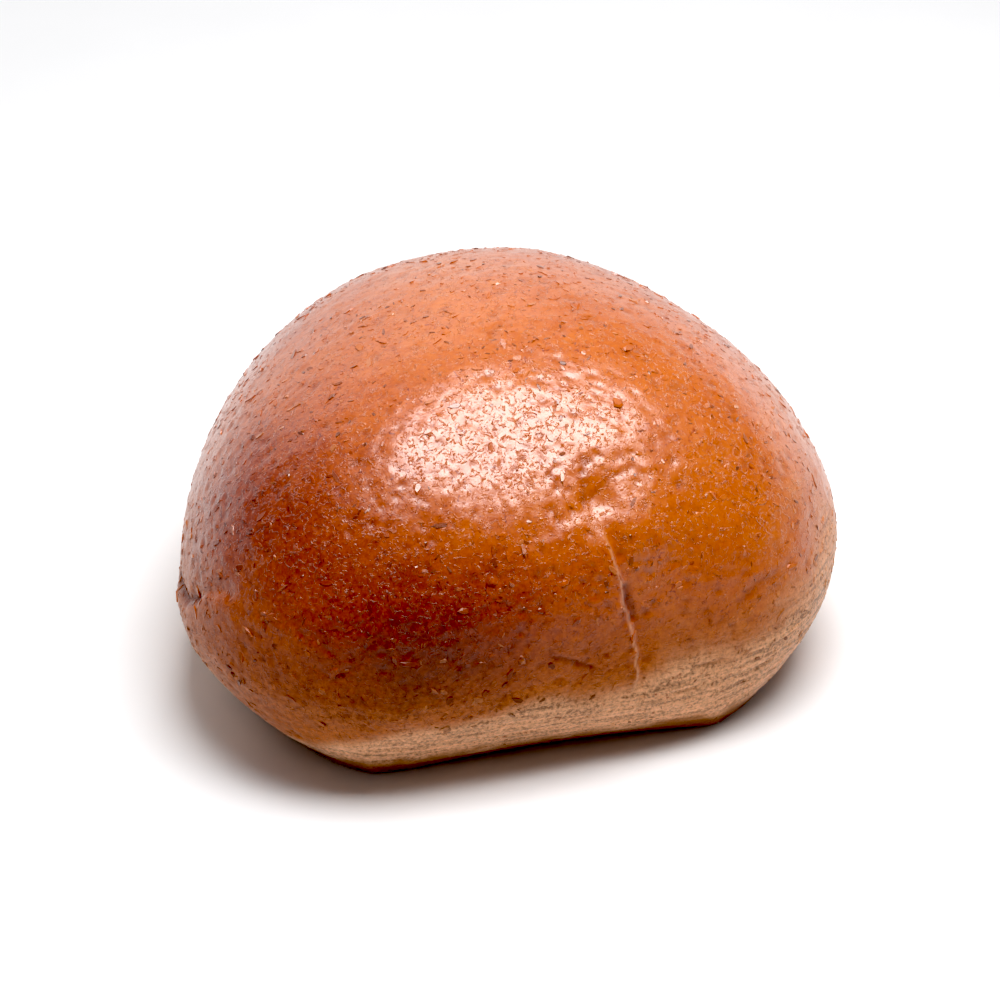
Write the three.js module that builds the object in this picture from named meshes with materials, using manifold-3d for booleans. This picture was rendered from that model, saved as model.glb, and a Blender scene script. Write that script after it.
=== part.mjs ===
// A glazed wholemeal bread roll, one baked solid: a domed crust, a front pressed flat where it met
// its neighbour in the oven, a foot that tucks in under it, and a flat underside that is lifted a
// little along the front. Millimetres, +Z up, the pressed front towards -Y.

import * as THREE from 'three';
import { mergeVertices } from 'three/addons/utils/BufferGeometryUtils.js';
import Module from 'manifold-3d';

// Driving sizes of the whole roll
const HALF_WIDTH = 50;
const HALF_DEPTH = 47;
const HEIGHT = 57;
const SHOULDER_HEIGHT = 19;
const CROWN_LEAN = { x: 0.2, y: 0.8 };

// Unevenness of the plan, as waves round it: how many to a turn, and their shares of the radius
const PLAN_WAVES = [
  { turns: 2, cosine: 0.010, sine: 0.031 },
  { turns: 3, cosine: 0.053, sine: -0.049 },
  { turns: 4, cosine: -0.013, sine: -0.027 },
];

// The foot: how the wall tucks in below the shoulder, and how its plan differs at the table
const TUCK_REACH = 36.8;
const TUCK_POWER = 2.2;
const FOOT_FADE = 1.5;
const FOOT_WAVES = [
  { turns: 1, cosine: 0.005, sine: 0.021 },
  { turns: 2, cosine: -0.057, sine: -0.054 },
  { turns: 3, cosine: -0.024, sine: 0.025 },
];
const RIM_RADIUS = 1.2;

// The pressed front: its direction, its distance from the middle at the table and at the shoulder
const FRONT_AZIMUTH = THREE.MathUtils.degToRad(-77.8);
const FRONT_AT_TABLE = 35.4;
const FRONT_AT_SHOULDER = 43.9;
const FRONT_LEAN_POWER = 0.8;
const FRONT_SOFTNESS = 0.4;

// The arch under the front edge
const ARCH_LIFT = 1.5;
const ARCH_MIDDLE = 3.5;
const ARCH_HALF_SPAN = 24;
const ARCH_REACH = 10;

// Mesh density: columns round the roll, and rows in each zone from the crown down
const COLUMNS = 96;
const DOME_ROWS = 20;
const WALL_ROWS = 8;
const RIM_ROWS = 2;
const UNDERSIDE_ROWS = 4;
const UNDERSIDE_CROWDING = 1.5;
const ROWS = DOME_ROWS + WALL_ROWS + RIM_ROWS + UNDERSIDE_ROWS;

// Shallow dents and swellings. A place on the crust is given by its azimuth and its height angle,
// which is 90 at the crown, 0 at the shoulder and -90 at the table.
const SWELLINGS = [
  { name: 'dimple', azimuth: -68, angle: 37, reach: 8, rise: -1.3 },
  { name: 'brow over the dimple', azimuth: -62, angle: 50, reach: 9, rise: 0.7 },
  { name: 'cheek left of the fold', azimuth: -74, angle: 12, reach: 11, rise: 0.6 },
  { name: 'hollow right of the fold', azimuth: -52, angle: 4, reach: 9, rise: -0.7 },
  { name: 'left bulge under the crease', azimuth: -150, angle: -14, reach: 12, rise: 0.9 },
  { name: 'left hollow over the crease', azimuth: -152, angle: 12, reach: 9, rise: -0.7 },
  { name: 'dent at the right side', azimuth: -19, angle: 11, reach: 6, rise: -0.8 },
  { name: 'swelling at the back', azimuth: 95, angle: 8, reach: 18, rise: 0.8 },
  { name: 'hollow at the back left', azimuth: 150, angle: 20, reach: 15, rise: -0.6 },
];

// Folds stand proud of the crust and creases, whose rise is negative, are cut into it. Each runs
// along a route of places on the crust.
const FOLDS = [
  { name: 'fold down the front', halfWidth: 1.1, rise: 0.55, steps: 16,
    route: [[-64, 35], [-62.5, 28], [-62.5, 20], [-62, 11], [-60.5, 4], [-60, -6], [-60.5, -31]] },
];
const CREASES = [
  { name: 'left crease', halfWidth: 1.1, rise: -0.9, steps: 12,
    route: [[-172, -3], [-160, 0], [-150, 4], [-139, 16]] },
  { name: 'short crease on the front', halfWidth: 0.7, rise: -0.4, steps: 8,
    route: [[-79, 1], [-75, 5], [-70, 4]] },
  { name: 'groove at the right', halfWidth: 0.8, rise: -0.4, steps: 8,
    route: [[-42, 9], [-37, 13], [-32, 13]] },
];
const SWEPT_SIDES = 8;
const END_FADE = 1.2;

// The largest bran flakes, baked into the crust
const FLAKE_COUNT = 100;
const FLAKE_LENGTH = { least: 1.8, most: 2.8 };
const FLAKE_WIDTH = { least: 0.8, most: 1.1 };
const FLAKE_RISE = 0.3;
const FLAKE_ROOT = 0.5;
const FLAKE_SIDES = 6;
const FLAKE_TOP_SHARE = 0.6;
const FLAKE_LOWEST_ANGLE = -18;
const FLAKE_SHIFT = 0.2;
const FLAKE_SEED = 20481;
const GOLDEN_TURN = Math.PI * (3 - Math.sqrt(5));

const { degToRad, lerp } = THREE.MathUtils;

// The radius of the plan at an azimuth, before the pressed front
function planRadius(azimuth) {
  const across = Math.cos(azimuth) / HALF_WIDTH;
  const along = Math.sin(azimuth) / HALF_DEPTH;
  return wavy(1 / Math.hypot(across, along), PLAN_WAVES, azimuth);
}

// A radius made uneven by waves round the roll
function wavy(radius, waves, azimuth) {
  return waves.reduce((sum, wave) => {
    const turn = wave.turns * azimuth;
    return sum * (1 + wave.cosine * Math.cos(turn) + wave.sine * Math.sin(turn));
  }, radius);
}

// The dome above the shoulder, a half ellipsoid whose crown leans a little
function domePoint(azimuth, angle) {
  const rise = Math.sin(angle);
  const radius = planRadius(azimuth) * Math.cos(angle);
  return new THREE.Vector3(
    radius * Math.cos(azimuth) + CROWN_LEAN.x * rise * rise,
    radius * Math.sin(azimuth) + CROWN_LEAN.y * rise * rise,
    SHOULDER_HEIGHT + (HEIGHT - SHOULDER_HEIGHT) * rise,
  );
}

// The wall below the shoulder, where fall runs from 0 at the shoulder to 1 at the table
function wallPoint(azimuth, fall) {
  const height = SHOULDER_HEIGHT * (1 - fall);
  const tuck = Math.pow(SHOULDER_HEIGHT * fall / TUCK_REACH, TUCK_POWER);
  const foot = lerp(1, wavy(1, FOOT_WAVES, azimuth), Math.pow(fall, FOOT_FADE));
  const radius = planRadius(azimuth) * Math.pow(1 - tuck, 1 / TUCK_POWER) * foot;
  const point = new THREE.Vector3(radius * Math.cos(azimuth), radius * Math.sin(azimuth), height);
  pressFront(point, fall);
  point.z += archLift(point) * fall * fall * fall;
  return point;
}

// The distance of a point towards the pressed front, and sideways along it
function frontDistance(point) {
  return point.x * Math.cos(FRONT_AZIMUTH) + point.y * Math.sin(FRONT_AZIMUTH);
}

function frontSideways(point) {
  return point.y * Math.cos(FRONT_AZIMUTH) - point.x * Math.sin(FRONT_AZIMUTH);
}

// Pushes a wall point back behind the pressed front, with a soft corner
function pressFront(point, fall) {
  const share = Math.pow(1 - fall, FRONT_LEAN_POWER);
  const excess = frontDistance(point) - lerp(FRONT_AT_TABLE, FRONT_AT_SHOULDER, share);
  const back = (excess + Math.hypot(excess, FRONT_SOFTNESS)) / 2 * Math.sqrt(fall);
  point.x -= back * Math.cos(FRONT_AZIMUTH);
  point.y -= back * Math.sin(FRONT_AZIMUTH);
}

// How far the arch lifts the underside at a place in plan
function archLift(point) {
  const sideways = (frontSideways(point) - ARCH_MIDDLE) / ARCH_HALF_SPAN;
  const inwards = (FRONT_AT_TABLE - frontDistance(point)) / ARCH_REACH;
  const near = Math.min(1, Math.max(0, 1 - inwards));
  return ARCH_LIFT * Math.max(0, 1 - sideways * sideways) * near * near;
}

// A point of the smooth form, by azimuth and height angle in degrees
function formPoint(azimuthDegrees, angleDegrees) {
  const azimuth = degToRad(azimuthDegrees);
  if (angleDegrees >= 0) return domePoint(azimuth, degToRad(angleDegrees));
  return wallPoint(azimuth, -angleDegrees / 90);
}

// The outward normal of the smooth form there
function formNormal(azimuthDegrees, angleDegrees) {
  const step = 0.5;
  const angle = Math.min(angleDegrees, 90 - 2 * step);
  const round = formPoint(azimuthDegrees + step, angle).sub(formPoint(azimuthDegrees - step, angle));
  const up = formPoint(azimuthDegrees, angle + step).sub(formPoint(azimuthDegrees, angle - step));
  return round.cross(up).normalize();
}

// The form with its dents and swellings, each a soft round bump about its place
const swellingPlaces = SWELLINGS.map((each) => formPoint(each.azimuth, each.angle));

function crustPoint(azimuthDegrees, angleDegrees) {
  const point = formPoint(azimuthDegrees, angleDegrees);
  const rise = SWELLINGS.reduce((sum, each, i) => {
    const away = point.distanceTo(swellingPlaces[i]) / each.reach;
    return sum + each.rise * Math.exp(-away * away);
  }, 0);
  return point.addScaledVector(formNormal(azimuthDegrees, angleDegrees), rise);
}

// The rim round the underside: the wall's lowest ring, drawn in and rounded down to the table
function rimPoint(azimuthDegrees, turn) {
  const lowest = crustPoint(azimuthDegrees, -90 * (1 - RIM_RADIUS / SHOULDER_HEIGHT));
  const lift = archLift(lowest);
  const inwards = RIM_RADIUS * (1 - Math.cos(turn)) / Math.hypot(lowest.x, lowest.y);
  return new THREE.Vector3(
    lowest.x * (1 - inwards),
    lowest.y * (1 - inwards),
    lift + RIM_RADIUS * (1 - Math.sin(turn)),
  );
}

// The underside, from the rim to the middle: flat on the table but for the arch
function undersidePoint(azimuthDegrees, share) {
  const point = rimPoint(azimuthDegrees, Math.PI / 2);
  point.x *= share;
  point.y *= share;
  point.z = archLift(point);
  return point;
}

// The point of the roll's surface on a column and a row of the mesh
function surfacePoint(azimuthDegrees, row) {
  const wallRow = row - DOME_ROWS;
  const rimRow = wallRow - WALL_ROWS;
  const undersideRow = rimRow - RIM_ROWS;
  if (wallRow <= 0) return crustPoint(azimuthDegrees, 90 * (1 - row / DOME_ROWS));
  if (rimRow < 0) {
    const lowestAngle = -90 * (1 - RIM_RADIUS / SHOULDER_HEIGHT);
    return crustPoint(azimuthDegrees, lowestAngle * wallRow / WALL_ROWS);
  }
  if (undersideRow < 0) return rimPoint(azimuthDegrees, Math.PI / 2 * rimRow / RIM_ROWS);
  const inwards = Math.pow(undersideRow / UNDERSIDE_ROWS, UNDERSIDE_CROWDING);
  return undersidePoint(azimuthDegrees, 1 - inwards);
}

// The bare body: a sphere's mesh with each vertex moved to its place on the roll
function bodyGeometry() {
  const sphere = new THREE.SphereGeometry(1, COLUMNS, ROWS).rotateX(Math.PI / 2);
  const geometry = bare(sphere);
  const position = geometry.attributes.position;
  const direction = new THREE.Vector3();
  for (let i = 0; i < position.count; i += 1) {
    direction.fromBufferAttribute(position, i).normalize();
    const azimuthDegrees = THREE.MathUtils.radToDeg(Math.atan2(direction.y, direction.x));
    const row = Math.round(Math.acos(direction.z) / Math.PI * ROWS);
    const point = surfacePoint(azimuthDegrees, row);
    position.setXYZ(i, point.x, point.y, point.z);
  }
  return geometry;
}

// A geometry with positions only and its shared vertices merged
function bare(geometry) {
  geometry.deleteAttribute('normal');
  geometry.deleteAttribute('uv');
  return mergeVertices(geometry);
}

// A round bar swept along a route on the crust. It is sunk until it stands proud by the rise, or
// raised until it cuts in as deep, and its ends fade out of the surface.
function sweptGeometry({ route, halfWidth, rise, steps }) {
  const height = Math.abs(rise);
  const radius = (halfWidth * halfWidth + height * height) / (2 * height);
  const stops = route.map(([azimuth, angle], i) => {
    const isEnd = i === 0 || i === route.length - 1;
    const sunk = radius - height + (isEnd ? END_FADE : 0);
    const outwards = -Math.sign(rise) * sunk;
    return crustPoint(azimuth, angle).addScaledVector(formNormal(azimuth, angle), outwards);
  });
  const corners = Array.from({ length: SWEPT_SIDES }, (_, i) => {
    const turn = 2 * Math.PI * i / SWEPT_SIDES;
    return new THREE.Vector2(radius * Math.cos(turn), radius * Math.sin(turn));
  });
  const extrudePath = new THREE.CatmullRomCurve3(stops);
  return new THREE.ExtrudeGeometry(new THREE.Shape(corners), { steps, extrudePath });
}

// Repeatable numbers from 0 to 1
function seededNumbers(seed) {
  let state = seed;
  return () => {
    state = state * 48271 % 2147483647;
    return state / 2147483647;
  };
}

// One bran flake, a low six-sided chip lying on the crust
function flakeGeometry(azimuthDegrees, angleDegrees, length, width, turn) {
  const chip = new THREE.CylinderGeometry(FLAKE_TOP_SHARE, 1, FLAKE_RISE + FLAKE_ROOT, FLAKE_SIDES);
  chip.rotateX(Math.PI / 2);
  chip.translate(0, 0, (FLAKE_RISE - FLAKE_ROOT) / 2);
  chip.scale(length / 2, width / 2, 1);
  chip.rotateZ(turn);
  const outwards = formNormal(azimuthDegrees, angleDegrees);
  const stand = new THREE.Quaternion().setFromUnitVectors(new THREE.Vector3(0, 0, 1), outwards);
  const place = crustPoint(azimuthDegrees, angleDegrees);
  chip.applyMatrix4(new THREE.Matrix4().compose(place, stand, new THREE.Vector3(1, 1, 1)));
  return chip;
}

// The flakes, spread evenly by the golden turn and then shifted, sized and turned by chance
function flakeGeometries() {
  const next = seededNumbers(FLAKE_SEED);
  const lowest = Math.sin(degToRad(FLAKE_LOWEST_ANGLE));
  const flakes = [];
  for (let i = 0; i < FLAKE_COUNT; i += 1) {
    const height = lerp(1, lowest, (i + next()) / FLAKE_COUNT);
    const azimuth = THREE.MathUtils.radToDeg(i * GOLDEN_TURN + FLAKE_SHIFT * next());
    const angle = THREE.MathUtils.radToDeg(Math.asin(height));
    const length = lerp(FLAKE_LENGTH.least, FLAKE_LENGTH.most, next());
    const width = lerp(FLAKE_WIDTH.least, FLAKE_WIDTH.most, next());
    flakes.push(flakeGeometry(azimuth, angle, length, width, Math.PI * next()));
  }
  return flakes;
}

const wasm = await Module();
wasm.setup();

// A closed geometry as a solid that can be joined and cut
function solidOf(geometry) {
  const merged = bare(geometry);
  return new wasm.Manifold(new wasm.Mesh({
    numProp: 3,
    vertProperties: new Float32Array(merged.attributes.position.array),
    triVerts: new Uint32Array(merged.index.array),
  }));
}

// A solid back as a geometry
function geometryOf(solid) {
  const mesh = solid.getMesh();
  const geometry = new THREE.BufferGeometry();
  geometry.setAttribute('position', new THREE.BufferAttribute(mesh.vertProperties, 3));
  geometry.setIndex(new THREE.BufferAttribute(mesh.triVerts, 1));
  return geometry;
}

// The whole roll: the body with its folds and flakes joined on and its creases cut in, set with the
// middle of its plan over the origin
function rollGeometry() {
  let solid = solidOf(bodyGeometry());
  for (const fold of FOLDS) solid = solid.add(solidOf(sweptGeometry(fold)));
  for (const crease of CREASES) solid = solid.subtract(solidOf(sweptGeometry(crease)));
  for (const flake of flakeGeometries()) solid = solid.add(solidOf(flake));
  const geometry = geometryOf(solid);
  geometry.computeBoundingBox();
  const middle = geometry.boundingBox.getCenter(new THREE.Vector3());
  geometry.translate(-middle.x, -middle.y, 0);
  geometry.computeVertexNormals();
  return geometry;
}

const crustMaterial = new THREE.MeshStandardMaterial({ color: 0xa4560f, roughness: 0.38, metalness: 0 });

const roll = new THREE.Mesh(rollGeometry(), crustMaterial);
roll.name = 'roll';

const group = new THREE.Group();
group.add(roll);

export default group;
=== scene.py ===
"""A glazed wholemeal bread roll: its browned crust, the bran baked into it, and a plain studio."""

import math

import bmesh
import bpy
import numpy as np
from mathutils import Matrix, Vector, kdtree, noise


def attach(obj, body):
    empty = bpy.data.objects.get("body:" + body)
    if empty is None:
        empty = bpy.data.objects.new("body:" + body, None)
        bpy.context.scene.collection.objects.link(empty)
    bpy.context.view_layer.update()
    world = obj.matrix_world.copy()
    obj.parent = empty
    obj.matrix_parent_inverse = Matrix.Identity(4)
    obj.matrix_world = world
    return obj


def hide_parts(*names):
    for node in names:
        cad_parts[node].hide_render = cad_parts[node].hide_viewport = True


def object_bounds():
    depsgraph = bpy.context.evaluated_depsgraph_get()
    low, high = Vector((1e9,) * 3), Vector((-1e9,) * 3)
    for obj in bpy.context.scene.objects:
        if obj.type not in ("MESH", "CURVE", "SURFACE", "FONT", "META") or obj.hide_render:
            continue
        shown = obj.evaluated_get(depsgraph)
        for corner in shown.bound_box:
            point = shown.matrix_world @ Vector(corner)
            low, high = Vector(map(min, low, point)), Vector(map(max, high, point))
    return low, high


bl_info = {
    "name": "Glazed bread roll",
    "version": (1, 0, 0),
    "blender": (4, 5, 0),
    "location": "View3D > Sidebar > Bread roll",
    "description": "Makes a glazed wholemeal roll with bran in its crust, and a plain studio",
    "category": "Add Mesh",
}

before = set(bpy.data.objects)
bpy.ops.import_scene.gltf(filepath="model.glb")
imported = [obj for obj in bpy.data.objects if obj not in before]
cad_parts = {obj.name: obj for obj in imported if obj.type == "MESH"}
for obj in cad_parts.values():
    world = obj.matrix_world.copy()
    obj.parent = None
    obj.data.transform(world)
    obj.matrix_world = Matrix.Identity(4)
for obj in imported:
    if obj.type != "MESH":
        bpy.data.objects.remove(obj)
CAD_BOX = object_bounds()

MM = 0.001

# The form, as in the solid: plan, dome, foot, pressed front and the arch under it
HEIGHT = round((CAD_BOX[1] - CAD_BOX[0]).z, 3)
HALF_WIDTH = 50 * MM
HALF_DEPTH = 47 * MM
SHOULDER_HEIGHT = 19 * MM
CROWN_LEAN = (0.2 * MM, 0.8 * MM)
PLAN_WAVES = ((2, 0.010, 0.031), (3, 0.053, -0.049), (4, -0.013, -0.027))
TUCK_REACH = 36.8 * MM
TUCK_POWER = 2.2
FOOT_FADE = 1.5
FOOT_WAVES = ((1, 0.005, 0.021), (2, -0.057, -0.054), (3, -0.024, 0.025))
RIM_RADIUS = 1.2 * MM
LOWEST_ANGLE = -90 * (1 - RIM_RADIUS / SHOULDER_HEIGHT)
FRONT_AZIMUTH = math.radians(-77.8)
FRONT_AT_TABLE = 35.4 * MM
FRONT_AT_SHOULDER = 43.9 * MM
FRONT_LEAN_POWER = 0.8
FRONT_SOFTNESS = 0.4 * MM
ARCH_LIFT = 1.5 * MM
ARCH_MIDDLE = 3.5 * MM
ARCH_HALF_SPAN = 24 * MM
ARCH_REACH = 10 * MM

# Places on the crust are an azimuth and a height angle in degrees: 90 at the crown, 0 at the
# shoulder and -90 at the table. Dents and swellings: place, reach and rise in millimetres. The
# solid's dimple is wider, with a brow over it, and its cheek is lower; the last four are only
# here.
SWELLINGS = (
    ("dimple", (-61, 37.5), 5, -0.5),
    ("cheek left of the fold", (-74, 12), 11, 1.0),
    ("hollow right of the fold", (-52, 4), 9, -0.7),
    ("left bulge under the crease", (-150, -14), 12, 0.9),
    ("left hollow over the crease", (-152, 12), 9, -0.7),
    ("dent at the right side", (-19, 11), 6, -0.8),
    ("swelling at the back", (95, 8), 18, 0.8),
    ("hollow at the back left", (150, 20), 15, -0.6),
    ("fullness over the pressed front", (-74, 28.7), 15.5, 1.9),
    ("hollow over the fullness", (-89, 53), 9, -0.9),
    ("pinch in the dimple", (-64, 38), 2.3, -0.6),
    ("lip under the dimple", (-57, 31), 5.6, 1.2),
)

# Steps in the crust where dough folds over dough: the route, rise and reach in millimetres to
# the left and to the right of someone who walks along it, half the width of the edge in
# millimetres, and how strong the pale line painted along the edge as its highlight is
STEPS = (
    ("fold down the front",
     ((-64, 33.4), (-63.5, 28.3), (-62.5, 21.2), (-62.5, 16.2), (-61.5, 11), (-60.5, 4), (-60, -7),
      (-61.5, -30)), (-0.45, 2.5), (0.50, 5.0), 0.28, 0.5),
    ("ridge under the dimple",
     ((-84, 30), (-79, 32.2), (-73, 34.2), (-66, 36)), (-0.25, 2.5), (0.15, 3.0), 0.90, 0.0),
    ("left crease",
     ((-178, -6), (-165, -2), (-150, 4), (-144, 11), (-134, 19)), (-0.45, 2.5), (0.45, 7.0),
     0.50, 0.0),
)
# How far the edges wander to either side of their routes
EDGE_WANDER = 0.35 * MM
# The painted highlight line lies to the right of an edge, by half its width divided by this
# sharpness
EDGE_HIGHLIGHT_SHARPNESS = 1.4
# The share of a route's length over which its form fades in, and out again
ROUTE_FADE = 0.12

# Grooves: the route, then depth and half width in millimetres
GROOVES = (
    ("crease up from the dimple", ((-67, 37.4), (-65.5, 42), (-63, 48.5)), 0.20, 0.6),
    ("crease right of the dimple", ((-67, 37.5), (-58.5, 42.5), (-50, 44.5)), 0.16, 0.5),
    ("gutter of the fold", ((-62, 21), (-62, 16), (-61, 11)), 0.45, 0.6),
    ("gutter of the left crease", ((-170, -4), (-150, 4), (-144, 11)), 0.60, 0.8),
    ("short crease on the front", ((-79, 7), (-74, 5), (-69, 1)), 0.30, 0.5),
    ("groove at the right", ((-42, 9), (-37, 13), (-32, 13)), 0.20, 0.7),
    ("first wrinkle of the foot", ((-50, -15), (-43, -14)), 0.20, 0.35),
    ("second wrinkle of the foot", ((-54, -34), (-48, -33)), 0.20, 0.35),
    ("third wrinkle of the foot", ((-38, -37), (-33, -32)), 0.20, 0.35),
)

# The lower edge of the glaze round the roll: azimuth, height angle and softness in degrees
GLAZE_EDGE = ((-180, -16, 12), (-160, -12, 14), (-148, -16, 14), (-138, -46, 12), (-130, -64, 8),
              (-122, -58, 7), (-117, -42, 8), (-101, -27, 8), (-80, -21, 9), (-60, -17, 12),
              (-48, -7, 17), (-36, 1, 18), (-20, 8, 16), (0, 4, 14), (40, -8, 10), (90, -15, 9),
              (140, -12, 10), (180, -16, 12))
# How far that edge wanders, as a share of its softness
GLAZE_WANDER = 0.8
# The height angles where the glossy coat begins and where it is full
COAT_FADE = (-2, 33)
# The height angles where the crust begins to be dry and sandy, and where it is so in full
DRY_FADE = (24, -14)

# Where the oven browned the crust more or less: the place, the reach in millimetres, the share
BAKE_LEVEL = 0.30
BAKE_PATCHES = (
    ((-108, 10), 14, 0.44),
    ((-95, 8), 12, 0.32),
    ((-115, 28), 16, 0.14),
    ((-80, 18), 11, 0.18),
    ((-144, 34), 17, 0.40),
    ((-130, -22), 10, 0.22),
    ((-66, 0), 9, 0.18),
    ((-45, 4), 10, 0.20),
    ((-35, 40), 22, -0.04),
    ((60, 25), 22, 0.20),
    ((150, 30), 20, 0.16),
    ((90, 80), 20, -0.08),
)
# How much less at the edge of the glaze, and over how many degrees above it that fades
EDGE_BAKE = (-0.18, 16)
BAKE_WANDER = 0.06
# The rim that touched the tray browns between these two angles below the shoulder
RIM_BROWNING = (62, 82)
RIM_WANDER = 10

# The number, reach and rise of the small pocks and bumps, and the share of them on the dome
CRUST_SEED = 1605
POCKS = 2200
POCK_REACH = (0.30 * MM, 0.70 * MM)
POCK_RISE = (-0.26 * MM, -0.08 * MM)
BUMPS = 3600
BUMP_REACH = (0.30 * MM, 0.75 * MM)
BUMP_RISE = (0.05 * MM, 0.16 * MM)
DOME_SHARE = 0.64

# The crust's unevenness, from broad to fine, and the stretch marks round the foot
SWELL_RISE = 0.26 * MM
LUMP_RISE = 0.06 * MM
GRAIN_RISE = 0.05 * MM
WRINKLE_RISE = 0.09 * MM
# What the foot keeps of the glazed crust's grain, its pocks and bumps, and the shade painted in its
# creases
FOOT_GRAIN = 0.30
FOOT_POCKS = 0.30
FOOT_CREASE_SHADE = 0.35
# The angles below the shoulder where the relief has ended and where it is still full
RELIEF_END = (86, 70)
# A crease or pock this deep gets the full painted shade
FULL_SHADE_DEPTH = 0.5 * MM

# Noise over the crust: its scale for each metre, its octaves and its seed
EDGE_NOISE = (420.0, 2, 29.0)
SWELL_NOISE = (60.0, 2, 0.0)
LUMP_NOISE = (260.0, 2, 5.0)
GRAIN_NOISE = (700.0, 1, 9.0)
WRINKLE_NOISE = ((120.0, 120.0, 1100.0), 2, 7.3)
GLAZE_NOISE = (90.0, 3, 3.1)
BAKE_NOISE = (55.0, 3, 11.0)
RIM_NOISE = (220.0, 3, 17.0)
CLUSTER_NOISE = (85.0, 2, 21.0)

# The bran of the solid, by the same rule and seed as there
SOLID_FLAKES = 100
SOLID_FLAKE_SEED = 20481
SOLID_FLAKE_SHIFT = 0.2
SOLID_FLAKE_LOWEST = -18
SOLID_FLAKE_LENGTH = (1.8 * MM, 2.8 * MM)
SOLID_FLAKE_WIDTH = (0.8 * MM, 1.1 * MM)
GOLDEN_TURN = math.pi * (3 - math.sqrt(5))

# The photograph's camera: degrees down on the pressed front, metres to the target, pixels for
# each metre at the target, and the pixel where the roll's middle lies
VIEW_ELEVATION = 36
VIEW_DISTANCE = 0.470
VIEW_SCALE = 6429
VIEW_MIDDLE = (492.8, 481.1)
VIEW_TARGET_HEIGHT = 25 * MM
PICTURE_SIDE = 1000
SENSOR_WIDTH = 36

# The lights: place, target, width and height in metres, and the setting that holds the power
LIGHTS = (
    ("soft_box", (0.06, -0.03, 0.42), (0.02, -0.03, 0.04), (0.16, 0.28), "key_power"),
    ("high_panel", (-0.25, 0.45, 0.45), (-0.1, 0, 0.03), (0.8, 0.3), "high_power"),
    ("back_panel", (-0.1, 0.8, 0.15), (0, 0, 0.05), (1.2, 0.35), "back_power"),
    ("right_panel", (0.55, 0.45, 0.12), (0, 0, 0.03), (0.6, 0.25), "right_power"),
    ("left_panel", (-0.60, 0.30, 0.12), (0, 0, 0.03), (0.6, 0.25), "left_power"),
)
FLOOR_HALF_SIDE = 3

# Patterns of the materials: the noise's scale for each metre, its detail and its roughness
MOTTLE = (200, 5, 0.65)
FLECKS = (1500, 3, 0.7)
SAND = (1300, 3, 0.7)
FLOUR = (1900, 3, 0.7)
STREAK_STRETCH = (110, 110, 1300)
STREAKS = (1.0, 4, 0.6)
DULL_GRAIN = (1600, 3, 0.6)
SATIN_GRAIN = (420, 4, 0.6)
PORES = (2600, 3, 0.6)
FLOOR_GRAIN = (40, 2, 0.55)
# Most of a noise's values lie between these two
NOISE_SPAN = (0.3, 0.7)
# Specks of bran under the glaze: the noise's scale, its threshold, and how much darker they are
LARGE_SPECKS = (620, 0.65, 0.40)
SMALL_SPECKS = (1500, 0.65, 0.30)
FOOT_SPECKS = (1100, 0.64, 0.75)
SPECK_SOFTNESS = 0.06
# How brown the crust is where it has its golden, orange, chestnut and burnt colours
BAKE_STOPS = (0.0, 0.38, 0.72, 1.0)
# How much the sandy colour covers where the crust is dry, and the burnt colour painted as shade in
# a deep crease or pock
SAND_COVER = 0.5
CREASE_SHADE_COVER = 0.75
# The foot's darkest and palest streaks, as shares of its colour
FOOT_TONES = (0.40, 1.36)
PORE_DEPTH = 0.03 * MM
CRACKLE_DEPTH = 0.13 * MM
BRAN_GRAIN_DEPTH = 0.04 * MM


# Settings

class CrustSettings(bpy.types.PropertyGroup):
    """The crust's sizes and colours"""
    half_width: bpy.props.FloatProperty(
        name="Half width", description="Half of the plan's width", default=HALF_WIDTH,
        min=0.02, unit="LENGTH")
    half_depth: bpy.props.FloatProperty(
        name="Half depth", description="Half of the plan's depth", default=HALF_DEPTH,
        min=0.02, unit="LENGTH")
    height: bpy.props.FloatProperty(
        name="Height", description="From the table to the crown", default=HEIGHT,
        min=0.03, unit="LENGTH")
    cuts: bpy.props.IntProperty(
        name="Cuts", description="Cuts across each side of the starting cube", default=127,
        min=8, max=127)
    golden: bpy.props.FloatVectorProperty(
        name="Golden", description="The palest glazed crust", subtype="COLOR", size=4,
        default=(0.61, 0.155, 0.011, 1))
    orange: bpy.props.FloatVectorProperty(
        name="Orange brown", description="The crust where it is well baked", subtype="COLOR",
        size=4, default=(0.485, 0.096, 0.0065, 1))
    chestnut: bpy.props.FloatVectorProperty(
        name="Chestnut", description="The crust where it is dark", subtype="COLOR", size=4,
        default=(0.28, 0.036, 0.005, 1))
    burnt: bpy.props.FloatVectorProperty(
        name="Burnt", description="The darkest crust", subtype="COLOR", size=4,
        default=(0.13, 0.010, 0.003, 1))
    sandy: bpy.props.FloatVectorProperty(
        name="Sandy", description="The dry crust low on the glaze", subtype="COLOR", size=4,
        default=(0.45, 0.160, 0.040, 1))
    foot: bpy.props.FloatVectorProperty(
        name="Foot", description="The dull crust that the glaze didn't reach", subtype="COLOR",
        size=4, default=(0.69, 0.360, 0.200, 1))
    rim: bpy.props.FloatVectorProperty(
        name="Rim", description="The browned rim that touched the tray", subtype="COLOR",
        size=4, default=(0.30, 0.110, 0.028, 1))
    # Painted highlight: the pale line along the folds' edges takes this colour
    edge: bpy.props.FloatVectorProperty(
        name="Fold edge", description="The stretched dough along the folds' edges",
        subtype="COLOR", size=4, default=(0.80, 0.42, 0.22, 1))


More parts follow.
